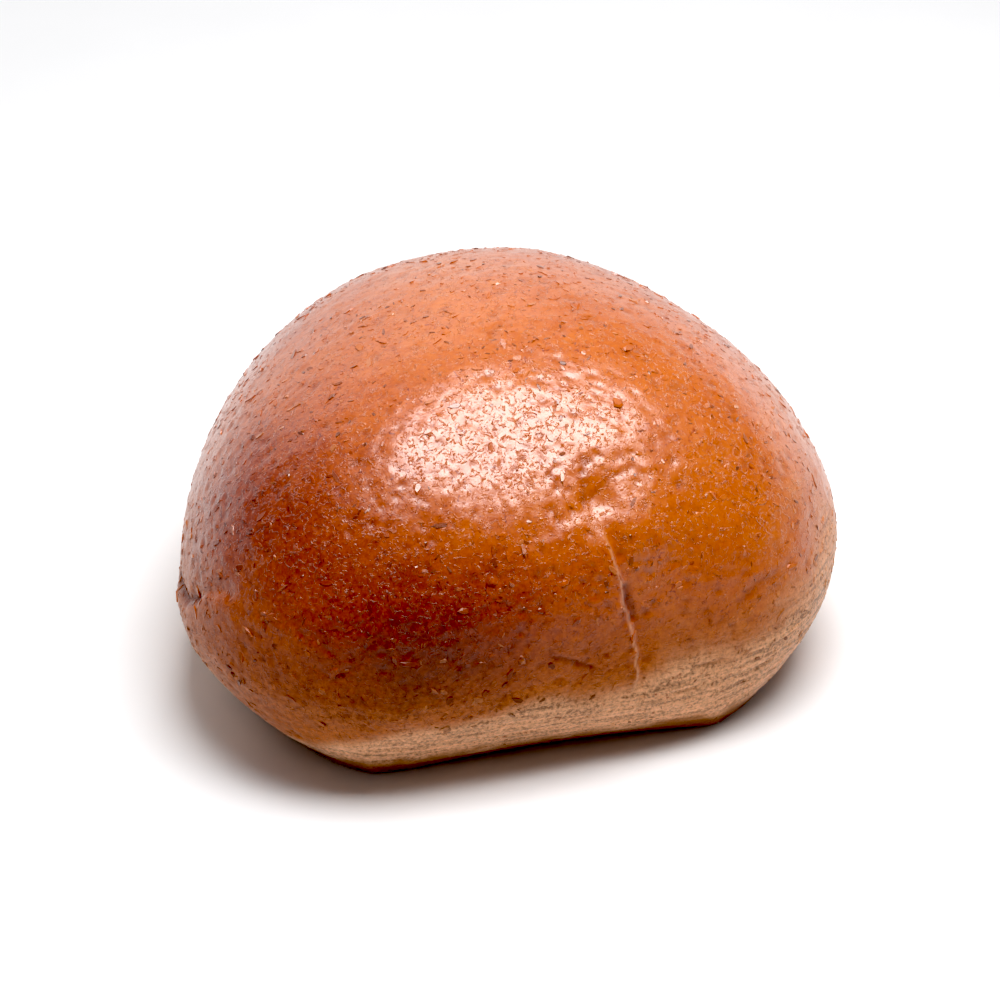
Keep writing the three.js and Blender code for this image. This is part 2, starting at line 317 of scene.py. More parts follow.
class BranSettings(bpy.types.PropertyGroup):
    """The bran flakes' number, sizes and colours"""
    count: bpy.props.IntProperty(
        name="Flakes", description="Fine flakes over the whole crust", default=4200, min=0)
    length: bpy.props.FloatProperty(
        name="Length", description="Length of a middling flake", default=0.80 * MM,
        min=0.1 * MM, unit="LENGTH")
    pale: bpy.props.FloatVectorProperty(
        name="Pale bran", description="The palest flakes", subtype="COLOR", size=4,
        default=(0.62, 0.30, 0.13, 1))
    dark: bpy.props.FloatVectorProperty(
        name="Dark bran", description="The darkest flakes", subtype="COLOR", size=4,
        default=(0.08, 0.012, 0.003, 1))


class StudioSettings(bpy.types.PropertyGroup):
    """The floor and the lights"""
    floor: bpy.props.FloatVectorProperty(
        name="Floor", description="Colour of the floor", subtype="COLOR", size=4,
        default=(0.90, 0.90, 0.91, 1))
    key_power: bpy.props.FloatProperty(
        name="Key light", description="Power of the soft box overhead", default=2.15,
        min=0, unit="POWER")
    high_power: bpy.props.FloatProperty(
        name="High back light", description="Power of the high panel behind the roll",
        default=1.15, min=0, unit="POWER")
    back_power: bpy.props.FloatProperty(
        name="Low back light", description="Power of the low panel behind the roll",
        default=1.4, min=0, unit="POWER")
    right_power: bpy.props.FloatProperty(
        name="Right light", description="Power of the low panel behind on the right",
        default=0.8, min=0, unit="POWER")
    left_power: bpy.props.FloatProperty(
        name="Left light", description="Power of the low panel behind on the left",
        default=0.25, min=0, unit="POWER")
    surround: bpy.props.FloatProperty(
        name="Surround", description="Brightness of the room all round", default=0.15, min=0)
    black_level: bpy.props.FloatProperty(
        name="Black level", description="Brightness that the picture shows as black",
        default=0.042, min=0, max=0.2)


# The form

def waves(azimuth, table):
    """The share of the radius that waves round the roll leave at each azimuth."""
    share = np.ones_like(azimuth)
    for turns, cosine, sine in table:
        share = share * (1 + cosine * np.cos(turns * azimuth) + sine * np.sin(turns * azimuth))
    return share


def front_distance(points):
    return points[:, 0] * math.cos(FRONT_AZIMUTH) + points[:, 1] * math.sin(FRONT_AZIMUTH)


def front_sideways(points):
    return points[:, 1] * math.cos(FRONT_AZIMUTH) - points[:, 0] * math.sin(FRONT_AZIMUTH)


def arch_lift(points):
    """How far the arch under the front edge lifts the underside at each place in plan."""
    sideways = (front_sideways(points) - ARCH_MIDDLE) / ARCH_HALF_SPAN
    near = np.clip(1 - (FRONT_AT_TABLE - front_distance(points)) / ARCH_REACH, 0, 1)
    return ARCH_LIFT * np.clip(1 - sideways ** 2, 0, None) * near ** 2


class Form:
    """The roll's smooth form, with its dents and swellings."""

    def __init__(self, half_width, half_depth, height):
        self.half_width = half_width
        self.half_depth = half_depth
        self.height = height
        self.swellings = [(self.at(place), reach * MM, rise * MM)
                          for _, place, reach, rise in SWELLINGS]
        self.middle = self.plan_middle()

    def plan_radius(self, azimuth):
        round_radius = 1 / np.hypot(np.cos(azimuth) / self.half_width,
                                    np.sin(azimuth) / self.half_depth)
        return round_radius * waves(azimuth, PLAN_WAVES)

    def dome(self, azimuth, angle):
        rise = np.sin(angle)
        radius = self.plan_radius(azimuth) * np.cos(angle)
        return np.stack([radius * np.cos(azimuth) + CROWN_LEAN[0] * rise ** 2,
                         radius * np.sin(azimuth) + CROWN_LEAN[1] * rise ** 2,
                         SHOULDER_HEIGHT + (self.height - SHOULDER_HEIGHT) * rise], axis=1)

    def wall(self, azimuth, fall):
        tuck = (SHOULDER_HEIGHT * fall / TUCK_REACH) ** TUCK_POWER
        foot = 1 + (waves(azimuth, FOOT_WAVES) - 1) * fall ** FOOT_FADE
        radius = self.plan_radius(azimuth) * (1 - tuck) ** (1 / TUCK_POWER) * foot
        points = np.stack([radius * np.cos(azimuth), radius * np.sin(azimuth),
                           SHOULDER_HEIGHT * (1 - fall)], axis=1)
        share = (1 - fall) ** FRONT_LEAN_POWER
        limit = FRONT_AT_TABLE + (FRONT_AT_SHOULDER - FRONT_AT_TABLE) * share
        excess = front_distance(points) - limit
        back = (excess + np.hypot(excess, FRONT_SOFTNESS)) / 2 * np.sqrt(fall)
        points[:, 0] -= back * math.cos(FRONT_AZIMUTH)
        points[:, 1] -= back * math.sin(FRONT_AZIMUTH)
        points[:, 2] += arch_lift(points) * fall ** 3
        return points

    def smooth(self, azimuth, angle):
        """Points of the smooth form, from azimuths and height angles in degrees."""
        turn = np.radians(azimuth)
        dome = self.dome(turn, np.radians(np.clip(angle, 0, 90)))
        wall = self.wall(turn, np.clip(-angle / 90, 0, 1))
        return np.where((angle >= 0)[:, None], dome, wall)

    def normals(self, azimuth, angle):
        step = 0.5
        angle = np.minimum(angle, 90 - 2 * step)
        across = self.smooth(azimuth + step, angle) - self.smooth(azimuth - step, angle)
        up = self.smooth(azimuth, angle + step) - self.smooth(azimuth, angle - step)
        outwards = np.cross(across, up)
        return outwards / np.linalg.norm(outwards, axis=1, keepdims=True)

    def at(self, place):
        return self.smooth(np.array([float(place[0])]), np.array([float(place[1])]))[0]

    def crust(self, azimuth, angle):
        """Points with the dents and swellings, and the outward normals there."""
        points = self.smooth(azimuth, angle)
        outwards = self.normals(azimuth, angle)
        rise = np.zeros(len(points))
        for centre, reach, height in self.swellings:
            away = np.linalg.norm(points - centre, axis=1) / reach
            rise += height * np.exp(-away ** 2)
        return points + outwards * rise[:, None], outwards

    def plan_middle(self):
        """The middle of the plan's box, which the solid puts over the origin."""
        azimuth, angle = np.meshgrid(np.arange(-180.0, 180.0, 2), np.arange(-84.0, 88.0, 4))
        points, _ = self.crust(azimuth.ravel(), angle.ravel())
        middle = (points.min(axis=0) + points.max(axis=0)) / 2
        return np.array([middle[0], middle[1], 0.0])


def roll_form():
    crust = bpy.context.scene.roll_crust
    return Form(crust.half_width, crust.half_depth, crust.height)


# The crust's relief

def fractal(points, scale, octaves, seed):
    """Fractal noise at points, each axis times its scale, from about -1 to 1."""
    places = points * np.asarray(scale) + seed
    return np.array([noise.fractal(Vector(p), 1.0, 2.0, octaves) for p in places])


def smooth_step(low, high, value):
    share = np.clip((value - low) / (high - low), 0, 1)
    return share * share * (3 - 2 * share)


def route_distance(points, outwards, route):
    """How far points lie to the left of a route over the crust, and how far along it, 0 to 1."""
    lengths = [np.linalg.norm(b - a) for a, b in zip(route, route[1:])]
    nearest = np.full(len(points), np.inf)
    signed = np.zeros(len(points))
    travel = np.zeros(len(points))
    walked = 0.0
    for start, end, length in zip(route, route[1:], lengths):
        ahead = (end - start) / length
        share = np.clip((points - start) @ ahead / length, 0, 1)
        gap = points - (start + share[:, None] * (end - start))
        away = np.linalg.norm(gap, axis=1)
        to_left = np.einsum("ij,ij->i", np.cross(outwards, ahead), gap)
        closer = away < nearest
        nearest = np.where(closer, away, nearest)
        signed = np.where(closer, np.sign(to_left) * away, signed)
        travel = np.where(closer, (walked + share * length) / sum(lengths), travel)
        walked += length
    return signed, travel


def route_points(form, route):
    """A route's places as points, with two more between each pair of stops."""
    stops = np.array(route, float)
    along = np.linspace(0, len(stops) - 1, 3 * (len(stops) - 1) + 1)
    azimuth = np.interp(along, np.arange(len(stops)), stops[:, 0])
    angle = np.interp(along, np.arange(len(stops)), stops[:, 1])
    return form.crust(azimuth, angle)[0]


def end_fade(travel):
    return smooth_step(0, ROUTE_FADE, travel) * smooth_step(1, 1 - ROUTE_FADE, travel)


def step_relief(form, points, outwards):
    """The folds, where dough stands higher on one side of each route, and the highlight painted
    along their edges.
    """
    relief = np.zeros(len(points))
    edges = np.zeros(len(points))
    for _, route, left, right, edge_width, edge_highlight_share in STEPS:
        across, travel = route_distance(points, outwards, route_points(form, route))
        across += EDGE_WANDER * fractal(points, *EDGE_NOISE)
        rise_left = left[0] * MM * np.exp(-(across / (left[1] * MM)) ** 2)
        rise_right = right[0] * MM * np.exp(-(across / (right[1] * MM)) ** 2)
        along_edge = across / (edge_width * MM)
        share = (1 + np.tanh(along_edge)) / 2
        relief += (rise_left * share + rise_right * (1 - share)) * end_fade(travel)
        # The highlight painted as a pale line along the edge
        pale = edge_highlight_share * np.exp(-(EDGE_HIGHLIGHT_SHARPNESS * along_edge + 1) ** 2)
        edges = np.maximum(edges, pale * end_fade(travel))
    return relief, edges


def groove_depth(form, points, outwards):
    """How deep the creases and wrinkles cut in at each point."""
    depth = np.zeros(len(points))
    for _, route, deep, half_width in GROOVES:
        across, travel = route_distance(points, outwards, route_points(form, route))
        cut = deep * MM * np.exp(-(across / (half_width * MM)) ** 2)
        depth = np.maximum(depth, cut * end_fade(travel))
    return depth


def point_tree(points):
    tree = kdtree.KDTree(len(points))
    for index, point in enumerate(points):
        tree.insert(point, index)
    tree.balance()
    return tree


def scattered_relief(form, tree, size, chance, count, reach, rise):
    """Round bumps, or pocks where rise is negative, spread evenly over dome and wall by chance."""
    on_dome = chance.random(count) < DOME_SHARE
    share = chance.random(count)
    angle = np.where(on_dome, np.degrees(np.arcsin(share)), -90 * share)
    centres, _ = form.crust(chance.uniform(-180, 180, count), angle)
    relief = np.zeros(size)
    for centre, radius, height in zip(centres, chance.uniform(*reach, count),
                                      chance.uniform(*rise, count)):
        for _, index, away in tree.find_range(centre, 2 * radius):
            bump = height * math.exp(-(away / radius) ** 2)
            if abs(bump) > abs(relief[index]):
                relief[index] = bump
    return relief


def foot_wrinkles(points):
    """Fine stretch marks that run round the foot."""
    return WRINKLE_RISE * (1 - 2 * np.abs(fractal(points, *WRINKLE_NOISE)))


def foot_share(share, glaze):
    """A weight that is 1 on the glazed crust and falls to a share on the foot."""
    return share + (1 - share) * glaze


def above_glaze_edge(azimuth, angle, points):
    """How many degrees above the edge of the glaze, and how soft that edge is there."""
    stops = np.array(GLAZE_EDGE, float)
    edge = np.interp(azimuth, stops[:, 0], stops[:, 1])
    softness = np.interp(azimuth, stops[:, 0], stops[:, 2])
    wander = GLAZE_WANDER * softness * fractal(points, *GLAZE_NOISE)
    return angle - edge + wander, softness


def bake_share(form, points, above_edge):
    """How brown the oven made the crust, 0 to 1."""
    bake = np.full(len(points), float(BAKE_LEVEL))
    for place, reach, share in BAKE_PATCHES:
        away = np.linalg.norm(points - form.at(place), axis=1) / (reach * MM)
        bake += share * np.exp(-away ** 2)
    less, height = EDGE_BAKE
    bake += less * np.exp(-(np.clip(above_edge, 0, None) / height) ** 2)
    return np.clip(bake + BAKE_WANDER * fractal(points, *BAKE_NOISE), 0, 1)


# Crust

# How the starting cube's directions are shared out: degrees of height given to the wall and the
# rim, and how much closer the columns stand at the front than at the back
WALL_SPAN = 36
RIM_SPAN = 4
FRONT_CROWDING = 0.45


def cube_ball(name, cuts):
    """A ball of even square cells, from a subdivided cube, and its vertices' directions."""
    ball = bmesh.new()
    bmesh.ops.create_cube(ball, size=2)
    bmesh.ops.subdivide_edges(ball, edges=ball.edges[:], cuts=cuts, use_grid_fill=True)
    mesh = bpy.data.meshes.new(name)
    ball.to_mesh(mesh)
    ball.free()
    corner = np.zeros(len(mesh.vertices) * 3, np.float32)
    mesh.vertices.foreach_get("co", corner)
    direction = np.tan(corner.reshape(-1, 3).astype(float) * math.pi / 4)
    return mesh, direction / np.linalg.norm(direction, axis=1, keepdims=True)


def store_share(mesh, name, values):
    """Keeps one number for each vertex, for the materials to read."""
    attribute = mesh.attributes.new(name, "FLOAT", "POINT")
    attribute.data.foreach_set("value", values.astype(np.float32))


def crust_mesh(form, cuts):
    """The whole crust, closed over the underside, with its relief in the mesh."""
    mesh, direction = cube_ball("roll_crust", cuts)
    turn = np.arctan2(direction[:, 1], direction[:, 0])
    azimuth = np.degrees(turn - FRONT_CROWDING * np.cos(turn))
    azimuth = (azimuth + 180) % 360 - 180
    lift = np.degrees(np.arcsin(np.clip(direction[:, 2], -1, 1)))
    angle = np.where(lift >= 0, lift, np.maximum(lift / WALL_SPAN, -1) * -LOWEST_ANGLE)
    rim = np.clip((-lift - WALL_SPAN) / RIM_SPAN, 0, 1)
    under = np.clip((-lift - WALL_SPAN - RIM_SPAN) / (90 - WALL_SPAN - RIM_SPAN), 0, 1)
    points, outwards = form.crust(azimuth, angle)

    chance = np.random.default_rng(CRUST_SEED)
    tree = point_tree(points)
    above_edge, softness = above_glaze_edge(azimuth, angle, points)
    glaze = smooth_step(-softness, softness, above_edge)
    groove = groove_depth(form, points, outwards)
    pocks = scattered_relief(form, tree, len(points), chance, POCKS, POCK_REACH, POCK_RISE)
    bumps = scattered_relief(form, tree, len(points), chance, BUMPS, BUMP_REACH, BUMP_RISE)
    relief, edges = step_relief(form, points, outwards)
    relief += SWELL_RISE * fractal(points, *SWELL_NOISE)
    relief += LUMP_RISE * fractal(points, *LUMP_NOISE)
    relief += GRAIN_RISE * fractal(points, *GRAIN_NOISE) * foot_share(FOOT_GRAIN, glaze)
    relief += foot_wrinkles(points) * (1 - glaze)
    relief += (pocks + bumps) * foot_share(FOOT_POCKS, glaze) - groove
    relief *= smooth_step(*RELIEF_END, -angle)
    points = points + outwards * relief[:, None]
    points[:, 2] = np.maximum(points[:, 2], arch_lift(points))

    lifted = arch_lift(points)
    radius = np.linalg.norm(points[:, :2], axis=1)
    inwards = RIM_RADIUS * (1 - np.cos(rim * math.pi / 2)) / np.maximum(radius, RIM_RADIUS)
    shrink = np.where(rim > 0, (1 - inwards) * (1 - under), 1)
    points[:, :2] *= shrink[:, None]
    rim_height = lifted + RIM_RADIUS * (1 - np.sin(rim * math.pi / 2))
    points[:, 2] = np.where(rim > 0, rim_height, points[:, 2])
    points[:, 2] = np.where(under > 0, arch_lift(points), points[:, 2])

    # Painted shade: the crust is darkened in its grooves and pocks by their depth
    crease_shade = groove / FULL_SHADE_DEPTH + np.clip(-pocks / FULL_SHADE_DEPTH, 0, 1)
    browned = smooth_step(*RIM_BROWNING, -angle + RIM_WANDER * fractal(points, *RIM_NOISE))
    store_share(mesh, "bake", bake_share(form, points, above_edge))
    store_share(mesh, "glaze", np.where(rim > 0, 0, glaze))
    store_share(mesh, "coat", np.where(rim > 0, 0, glaze * smooth_step(*COAT_FADE, angle)))
    store_share(mesh, "dry", smooth_step(*DRY_FADE, angle))
    store_share(mesh, "crease", np.clip(crease_shade * foot_share(FOOT_CREASE_SHADE, glaze), 0, 1))
    # The pale line painted along the folds' edges as their highlight
    store_share(mesh, "edge", edges)
    store_share(mesh, "rim", np.clip(browned + rim, 0, 1))
    mesh.vertices.foreach_set("co", (points - form.middle).astype(np.float32).ravel())
    mesh.shade_smooth()
    mesh.update()
    return mesh


# Materials

def new_material(name):
    material = bpy.data.materials.new(name)
    material.use_nodes = True
    tree = material.node_tree
    return material, tree, tree.nodes["Principled BSDF"]


def add_node(tree, kind, inputs=(), **settings):
    """A node with its settings, and its inputs set or linked by name or number."""
    node = tree.nodes.new(kind)
    for key, value in settings.items():
        setattr(node, key, value)
    for key, value in dict(inputs).items():
        if isinstance(value, bpy.types.NodeSocket):
            tree.links.new(value, node.inputs[key])
        else:
            node.inputs[key].default_value = value
    return node


def object_position(tree):
    return add_node(tree, "ShaderNodeTexCoord").outputs["Object"]


def share_of(tree, name):
    return add_node(tree, "ShaderNodeAttribute", attribute_name=name).outputs["Fac"]


def noise_of(tree, vector, scale, detail, roughness):
    inputs = {"Vector": vector, "Scale": scale, "Detail": detail, "Roughness": roughness}
    return add_node(tree, "ShaderNodeTexNoise", inputs).outputs["Fac"]


def stretched(tree, vector, scale):
    return add_node(tree, "ShaderNodeMapping", {"Vector": vector, "Scale": scale}).outputs["Vector"]


def ranged(tree, value, from_low, from_high, to_low, to_high):
    inputs = {"Value": value, "From Min": from_low, "From Max": from_high,
              "To Min": to_low, "To Max": to_high}
    return add_node(tree, "ShaderNodeMapRange", inputs).outputs["Result"]


def varied(tree, place, pattern, low, high):
    """A share that one of the patterns varies between two values."""
    return ranged(tree, noise_of(tree, place, *pattern), *NOISE_SPAN, low, high)


def combine(tree, operation, first, second):
    node = add_node(tree, "ShaderNodeMath", {0: first, 1: second}, operation=operation)
    return node.outputs["Value"]


def mixed(tree, share, first, second, blend="MIX"):
    inputs = {"Factor": share, "A": first, "B": second}
    node = add_node(tree, "ShaderNodeMix", (), data_type="RGBA", blend_type=blend)
    colour_sockets = {"Factor": 0, "A": 6, "B": 7}
    for key, value in inputs.items():
        socket = node.inputs[colour_sockets[key]]
        if isinstance(value, bpy.types.NodeSocket):
            tree.links.new(value, socket)
        else:
            socket.default_value = value
    return node.outputs[2]


def ramp_of(tree, value, stops):
    node = add_node(tree, "ShaderNodeValToRGB", {"Fac": value})
    elements = node.color_ramp.elements
    for element, (position, colour) in zip(elements, (stops[0], stops[-1])):
        element.position = position
        element.color = colour
    for position, colour in stops[1:-1]:
        elements.new(position).color = colour
    return node.outputs["Color"]


def bump_of(tree, height, distance, strength=1.0, normal=None):
    inputs = {"Height": height, "Distance": distance, "Strength": strength}
    if normal is not None:
        inputs["Normal"] = normal
    return add_node(tree, "ShaderNodeBump", inputs).outputs["Normal"]


def bran_specks(tree, place, scale, threshold, darkness):
    """Bran just under the glaze: specks with ragged edges, from 0 to how much darker they are."""
    speck = add_node(tree, "ShaderNodeTexNoise", {"Vector": place, "Scale": scale, "Detail": 2,
                                                  "Roughness": 0.7, "Distortion": 1.6})
    full = threshold + SPECK_SOFTNESS
    return ranged(tree, speck.outputs["Fac"], threshold, full, 0.0, darkness)


def glazed_colour(tree, place, settings):
    """The browned colour under the glaze, from the bake, a fine mottle and bran specks."""
    mottle = varied(tree, place, MOTTLE, -0.08, 0.08)
    flecks = varied(tree, place, FLECKS, -0.16, 0.16)
    bake = combine(tree, "ADD", share_of(tree, "bake"), combine(tree, "ADD", mottle, flecks))
    large = bran_specks(tree, place, *LARGE_SPECKS)
    small = bran_specks(tree, place, *SMALL_SPECKS)
    bake = combine(tree, "ADD", bake, combine(tree, "MAXIMUM", large, small))
    colours = (settings.golden, settings.orange, settings.chestnut, settings.burnt)
    smooth = ramp_of(tree, bake, tuple(zip(BAKE_STOPS, colours)))
    grain = ranged(tree, noise_of(tree, place, *SAND), 0.32, 0.68, 0.25, 1.5)
    sandy = mixed(tree, 1.0, settings.sandy, grain, "MULTIPLY")
    dry = combine(tree, "MULTIPLY", share_of(tree, "dry"), SAND_COVER)
    return mixed(tree, dry, smooth, sandy)


def foot_colour(tree, place, settings):
    """The floury foot: sandy grain, streaks round it, dark specks, and its browned rim."""
    streaks = varied(tree, stretched(tree, place, STREAK_STRETCH), STREAKS, -0.36, 0.36)
    flour = ranged(tree, noise_of(tree, place, *FLOUR), 0.28, 0.72, 0.0, 1.0)
    dusty = combine(tree, "ADD", streaks, flour)
    darker, paler = ([min(channel * tone, 1) for channel in settings.foot[:3]] + [1]
                     for tone in FOOT_TONES)
    foot = ramp_of(tree, dusty, ((0.05, darker), (0.5, settings.foot), (0.95, paler)))
    foot = mixed(tree, bran_specks(tree, place, *FOOT_SPECKS), foot, settings.chestnut)
    return mixed(tree, share_of(tree, "rim"), foot, settings.rim)


def skin_shine(tree, place, glaze, shader, normal):
    """A coat of glaze over the dome, a satin sheen low on the glaze, dull on the foot."""
    dull = varied(tree, place, DULL_GRAIN, 0.62, 0.85)
    satin = varied(tree, place, SATIN_GRAIN, 0.32, 0.48)
    roughness = add_node(tree, "ShaderNodeMix", {0: glaze, 2: dull, 3: satin})
    tree.links.new(roughness.outputs[0], shader.inputs["Roughness"])
    tree.links.new(share_of(tree, "coat"), shader.inputs["Coat Weight"])
    tree.links.new(normal, shader.inputs["Normal"])
    tree.links.new(normal, shader.inputs["Coat Normal"])
    shader.inputs["IOR"].default_value = 1.5
    shader.inputs["Specular IOR Level"].default_value = 0.26
    shader.inputs["Coat IOR"].default_value = 1.62
    shader.inputs["Coat Roughness"].default_value = 0.31
    shader.inputs["Sheen Weight"].default_value = 0.30
    shader.inputs["Sheen Roughness"].default_value = 0.4


def crust_material(settings):
    """Glazed, browned crust above, dull floury foot below."""
    material, tree, shader = new_material("glazed_crust")
    place = object_position(tree)
    glaze = share_of(tree, "glaze")
    glazed = glazed_colour(tree, place, settings)
    colour = mixed(tree, glaze, foot_colour(tree, place, settings), glazed)
    # Painted highlight: the pale line along the folds' edges
    colour = mixed(tree, share_of(tree, "edge"), colour, settings.edge)
    # Painted shade: the burnt colour laid into the creases and pocks
    dark = combine(tree, "MULTIPLY", share_of(tree, "crease"), CREASE_SHADE_COVER)
    colour = mixed(tree, dark, colour, settings.burnt)
    tree.links.new(colour, shader.inputs["Base Color"])

    pores = bump_of(tree, noise_of(tree, place, *PORES), PORE_DEPTH)
    crackle = add_node(tree, "ShaderNodeTexNoise", {"Vector": place, "Scale": 1150, "Detail": 3,
                                                    "Roughness": 0.6, "Distortion": 1.2})
    crags = ranged(tree, crackle.outputs["Fac"], 0.54, 0.82, 0.0, 1.0)
    skin_shine(tree, place, glaze, shader, bump_of(tree, crags, CRACKLE_DEPTH, 1.0, pores))
    return material


def bran_material(crust, settings):
    """Toasted bran under the glaze: the crust's colours, a shade paler or darker by flake."""
    material, tree, shader = new_material("toasted_bran")
    place = object_position(tree)
    glaze = share_of(tree, "glaze")
    colour = mixed(tree, glaze, foot_colour(tree, place, crust), glazed_colour(tree, place, crust))
    tone = share_of(tree, "tone")
    pale = ranged(tree, tone, 0.60, 1.0, 0.0, 0.32)
    dark = ranged(tree, tone, 0.40, 0.0, 0.0, 0.8)
    colour = mixed(tree, pale, colour, settings.pale)
    colour = mixed(tree, dark, colour, settings.dark)
    tree.links.new(colour, shader.inputs["Base Color"])
    grain = bump_of(tree, noise_of(tree, place, *PORES), BRAN_GRAIN_DEPTH)
    skin_shine(tree, place, glaze, shader, grain)
    return material


def floor_material(colour):
    material, tree, shader = new_material("studio_floor")
    grain = varied(tree, object_position(tree), FLOOR_GRAIN, 0.985, 1.0)
    shaded = mixed(tree, 1.0, colour, grain, "MULTIPLY")
    tree.links.new(shaded, shader.inputs["Base Color"])
    shader.inputs["Roughness"].default_value = 0.9
    shader.inputs["Specular IOR Level"].default_value = 0.1
    return material


# Bran flakes

BRAN_SEED = 77
FLAKE_KINDS = 4
# A flake's shape as a unit chip: corners round it, how far its top stands in, how uneven it is
FLAKE_SIDES = 7
FLAKE_TOP = 0.36
FLAKE_UNEVENNESS = 0.25
# Thickness as a share of the length, its limits, and how far flakes tilt out of the crust
FLAKE_THICKNESS = 0.13
FLAKE_THICKNESS_LIMITS = (0.08 * MM, 0.26 * MM)
FLAKE_TILT = 0.10
# The fine flakes' spread of length, and their widths as shares of it
FLAKE_SPREAD = 0.36
FLAKE_SLIMNESS = (0.25, 0.75)
# Their density at the foot, where one more is added between these two heights, and how level and
# how uneven it is from place to place, with the least that is left between clusters
FOOT_FLAKES = 0.16
FLAKE_HEIGHTS = (4 * MM, 22 * MM)
CLUSTERING = (0.7, 1.2)
LEAST_CLUSTER = 0.15
# Faces whose normals point further down than this are the underside, which has no fine flakes
UNDERSIDE_FACING = -0.85
# The two shape numbers of the beta spread of tones
TONE_SPREAD = (1.3, 1.6)


def flake_template(chance):
    """One chip of bran: an uneven disc, flat on top, whose sides slope down to a wider edge, about
    1 long and 1 high.
    """
    chip = bmesh.new()
    bmesh.ops.create_cone(chip, cap_ends=True, segments=FLAKE_SIDES, radius1=0.5,
                          radius2=FLAKE_TOP, depth=1.0)
    underside = [face for face in chip.faces if face.normal.z < -0.9]
    bmesh.ops.delete(chip, geom=underside, context="FACES_ONLY")
    top = [face for face in chip.faces if face.normal.z > 0.9]
    bmesh.ops.poke(chip, faces=top)
    for corner in chip.verts:
        stretch = 1 + chance.uniform(-FLAKE_UNEVENNESS, FLAKE_UNEVENNESS)
        corner.co.x *= stretch
        corner.co.y *= stretch
    bmesh.ops.triangulate(chip, faces=chip.faces[:])
    chip.verts.index_update()
    corners = np.array([corner.co for corner in chip.verts])
    triangles = np.array([[corner.index for corner in face.verts] for face in chip.faces])
    chip.free()
    return corners, triangles


def solid_flake_numbers(seed):
    """The solid's own repeatable numbers from 0 to 1."""
    state = seed
    while True:
        state = state * 48271 % 2147483647
        yield state / 2147483647


def solid_flakes():
    """Place, length, width and turn of each flake that the solid holds."""
    numbers = solid_flake_numbers(SOLID_FLAKE_SEED)
    lowest = math.sin(math.radians(SOLID_FLAKE_LOWEST))
    flakes = []
    for index in range(SOLID_FLAKES):
        height = 1 + (lowest - 1) * (index + next(numbers)) / SOLID_FLAKES
        azimuth = math.degrees(index * GOLDEN_TURN + SOLID_FLAKE_SHIFT * next(numbers))
        angle = math.degrees(math.asin(height))
        length = np.interp(next(numbers), (0, 1), SOLID_FLAKE_LENGTH)
        width = np.interp(next(numbers), (0, 1), SOLID_FLAKE_WIDTH)
        flakes.append((azimuth, angle, length, width, math.pi * next(numbers)))
    return np.array(flakes)


def read_numbers(items, name, width, kind=np.float32):
    """A mesh collection's numbers as an array, one row for each item."""
    values = np.zeros(len(items) * width, kind)
    items.foreach_get(name, values)
    return values.reshape(-1, width) if width > 1 else values


def fine_flake_corners(crust, chance, count):
    """The crust's corners that the fine flakes sit on, picked by area and in loose clusters."""
    faces = crust.polygons
    middles = read_numbers(faces, "center", 3)
    over_the_rim = read_numbers(faces, "normal", 3)[:, 2] >= UNDERSIDE_FACING
    density = FOOT_FLAKES + smooth_step(*FLAKE_HEIGHTS, middles[:, 2])
    level, swing = CLUSTERING
    clusters = np.clip(level + swing * fractal(middles, *CLUSTER_NOISE), LEAST_CLUSTER, None)
    weight = read_numbers(faces, "area", 1) * density * clusters * over_the_rim
    picked = chance.choice(len(faces), count, replace=False, p=weight / weight.sum())
    first_loops = read_numbers(faces, "loop_start", 1, np.int32)[picked]
    return read_numbers(crust.loops, "vertex_index", 1, np.int32)[first_loops]


def solid_flake_corners(form, crust, flakes):
    """The crust's corners nearest to the places of the solid's flakes."""
    points, _ = form.crust((flakes[:, 0] + 180) % 360 - 180, flakes[:, 1])
    tree = point_tree(read_numbers(crust.vertices, "co", 3))
    return np.array([tree.find(point)[1] for point in points - form.middle])


def flake_axes(outwards, turn, tilt):
    """Three axes for each flake, its third near the crust's normal, turned and tilted."""
    helper = np.where(np.abs(outwards[:, 2:3]) < 0.9, [[0.0, 0.0, 1.0]], [[1.0, 0.0, 0.0]])
    side = np.cross(helper, outwards)
    side /= np.linalg.norm(side, axis=1, keepdims=True)
    ahead = np.cross(outwards, side)
    long_axis = side * np.cos(turn)[:, None] + ahead * np.sin(turn)[:, None]
    wide_axis = np.cross(outwards, long_axis)
    tilted = outwards + long_axis * tilt[:, :1] + wide_axis * tilt[:, 1:]
    tilted /= np.linalg.norm(tilted, axis=1, keepdims=True)
    wide_axis = np.cross(tilted, long_axis)
    wide_axis /= np.linalg.norm(wide_axis, axis=1, keepdims=True)
    return np.cross(wide_axis, tilted), wide_axis, tilted


def joined_flakes(kinds, kind_of, places, axes, sizes):
    """All flakes as corners and triangles of one mesh, and which flake each corner is of."""
    all_corners, all_triangles, all_owners = [], [], []
    first = 0
    for kind, (corners, triangles) in enumerate(kinds):
        chosen = np.flatnonzero(kind_of == kind)
        local = corners[None] * sizes[chosen][:, None]
        spread = sum(local[:, :, i:i + 1] * axes[i][chosen][:, None] for i in range(3))
        placed = places[chosen][:, None] + spread
        offsets = first + np.arange(len(chosen)) * len(corners)
        all_corners.append(placed.reshape(-1, 3))
        all_triangles.append((triangles[None] + offsets[:, None, None]).reshape(-1, 3))
        all_owners.append(np.repeat(chosen, len(corners)))
        first += len(chosen) * len(corners)
    return np.concatenate(all_corners), np.concatenate(all_triangles), np.concatenate(all_owners)


